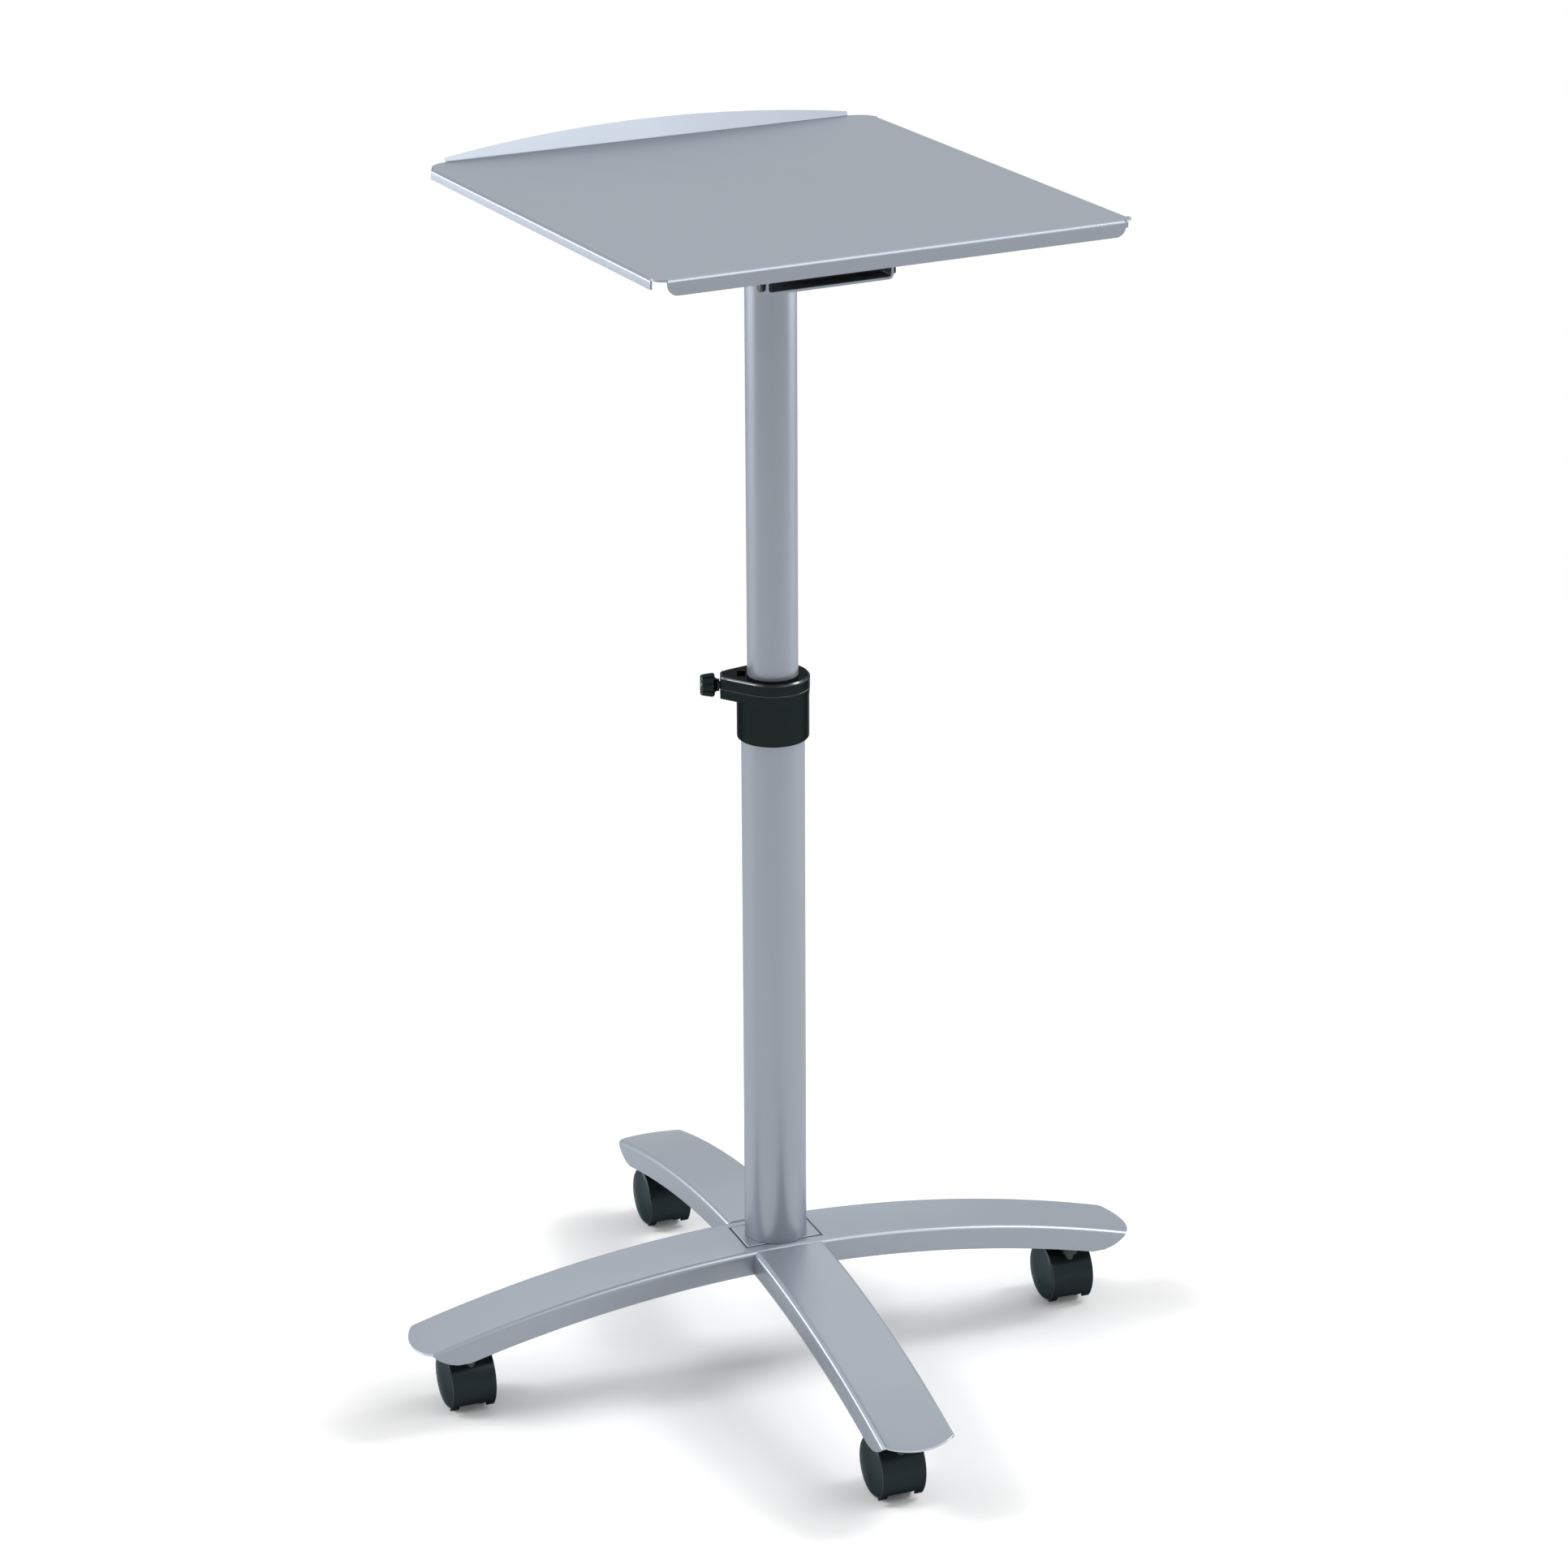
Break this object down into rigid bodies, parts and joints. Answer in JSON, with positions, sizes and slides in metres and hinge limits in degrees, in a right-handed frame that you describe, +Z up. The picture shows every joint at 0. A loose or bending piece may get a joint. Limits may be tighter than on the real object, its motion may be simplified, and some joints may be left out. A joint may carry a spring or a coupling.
{
  "type": "portable projector stand",
  "caption": "Rolling stand with an arched cross base on castors, a telescopic column held by a clamp knob, and a tray with a raised rear lip that swivels and tilts.",
  "frame": {"origin": "on the floor under the column's axis", "axes": "+Z up along the column, arms of the base along X and Y, front towards -Y"},
  "size_m": [0.622, 0.622, 0.9887],
  "materials": {
    "grey_paint": "satin metallic paint",
    "black_plastic": "moulded, lightly textured",
    "black_paint": "matt paint",
    "bush_plastic": "nylon",
    "steel": "zinc plated"
  },
  "bodies": {
    "base": {"cross_beam": "grey_paint", "front_arm": "grey_paint", "rear_arm": "grey_paint", "foot_plate": "grey_paint", "lower_tube": "grey_paint", "clamp_collar": "black_plastic", "clamp_nut": "steel", "right_castor_bridge": "grey_paint", "right_castor_stem": "steel", "rear_castor_bridge": "grey_paint", "rear_castor_stem": "steel", "left_castor_bridge": "grey_paint", "left_castor_stem": "steel", "front_castor_bridge": "grey_paint", "front_castor_stem": "steel"},
    "clamp": {"clamp_knob": "black_plastic", "clamp_screw": "steel"},
    "glide": {"guide_bush": "bush_plastic"},
    "mast": {"upper_tube": "grey_paint", "head_channel": "grey_paint", "hinge_pin": "steel"},
    "table": {"tray": "grey_paint", "tilt_saddle": "black_paint"},
    "right_castor": {"right_castor_hood": "black_plastic", "right_castor_axle": "steel"},
    "right_wheel_a": {"right_castor_wheel_a": "black_plastic"},
    "right_wheel_b": {"right_castor_wheel_b": "black_plastic"},
    "rear_castor": {"rear_castor_hood": "black_plastic", "rear_castor_axle": "steel"},
    "rear_wheel_a": {"rear_castor_wheel_a": "black_plastic"},
    "rear_wheel_b": {"rear_castor_wheel_b": "black_plastic"},
    "left_castor": {"left_castor_hood": "black_plastic", "left_castor_axle": "steel"},
    "left_wheel_a": {"left_castor_wheel_a": "black_plastic"},
    "left_wheel_b": {"left_castor_wheel_b": "black_plastic"},
    "front_castor": {"front_castor_hood": "black_plastic", "front_castor_axle": "steel"},
    "front_wheel_a": {"front_castor_wheel_a": "black_plastic"},
    "front_wheel_b": {"front_castor_wheel_b": "black_plastic"}
  },
  "joints": [
    {"name": "height_slide", "type": "slide", "parent": "base", "child": "glide", "axis": [0, 0, 1], "range_m": [-0.185, 0.2]},
    {"name": "head_swivel", "type": "hinge", "parent": "glide", "child": "mast", "pos_m": [0, 0, 0.31116], "axis": [0, 0, 1], "continuous": true},
    {"name": "tray_tilt", "type": "hinge", "parent": "mast", "child": "table", "pos_m": [-0.00815, 0.07757, 0.95266], "axis": [-0.9945, -0.1045, 0], "range_deg": [0, 25]},
    {"name": "clamp_turn", "type": "hinge", "parent": "base", "child": "clamp", "pos_m": [-0.03853, 0.01402, 0.58316], "axis": [-0.9397, 0.342, 0], "range_deg": [0, 360]},
    {"name": "right_castor_swivel", "type": "hinge", "parent": "base", "child": "right_castor", "pos_m": [0.262, 0, 0.04], "axis": [0, 0, 1], "continuous": true},
    {"name": "right_wheel_a_spin", "type": "hinge", "parent": "right_castor", "child": "right_wheel_a", "pos_m": [0.262, 0.017, 0.025], "axis": [1, 0, 0], "continuous": true},
    {"name": "right_wheel_b_spin", "type": "hinge", "parent": "right_castor", "child": "right_wheel_b", "pos_m": [0.262, 0.017, 0.025], "axis": [1, 0, 0], "continuous": true},
    {"name": "rear_castor_swivel", "type": "hinge", "parent": "base", "child": "rear_castor", "pos_m": [0, 0.262, 0.04], "axis": [0, 0, 1], "continuous": true},
    {"name": "rear_wheel_a_spin", "type": "hinge", "parent": "rear_castor", "child": "rear_wheel_a", "pos_m": [0, 0.279, 0.025], "axis": [1, 0, 0], "continuous": true},
    {"name": "rear_wheel_b_spin", "type": "hinge", "parent": "rear_castor", "child": "rear_wheel_b", "pos_m": [0, 0.279, 0.025], "axis": [1, 0, 0], "continuous": true},
    {"name": "left_castor_swivel", "type": "hinge", "parent": "base", "child": "left_castor", "pos_m": [-0.262, 0, 0.04], "axis": [0, 0, 1], "continuous": true},
    {"name": "left_wheel_a_spin", "type": "hinge", "parent": "left_castor", "child": "left_wheel_a", "pos_m": [-0.262, 0.017, 0.025], "axis": [1, 0, 0], "continuous": true},
    {"name": "left_wheel_b_spin", "type": "hinge", "parent": "left_castor", "child": "left_wheel_b", "pos_m": [-0.262, 0.017, 0.025], "axis": [1, 0, 0], "continuous": true},
    {"name": "front_castor_swivel", "type": "hinge", "parent": "base", "child": "front_castor", "pos_m": [0, -0.262, 0.04], "axis": [0, 0, 1], "continuous": true},
    {"name": "front_wheel_a_spin", "type": "hinge", "parent": "front_castor", "child": "front_wheel_a", "pos_m": [0, -0.245, 0.025], "axis": [1, 0, 0], "continuous": true},
    {"name": "front_wheel_b_spin", "type": "hinge", "parent": "front_castor", "child": "front_wheel_b", "pos_m": [0, -0.245, 0.025], "axis": [1, 0, 0], "continuous": true}
  ]
}
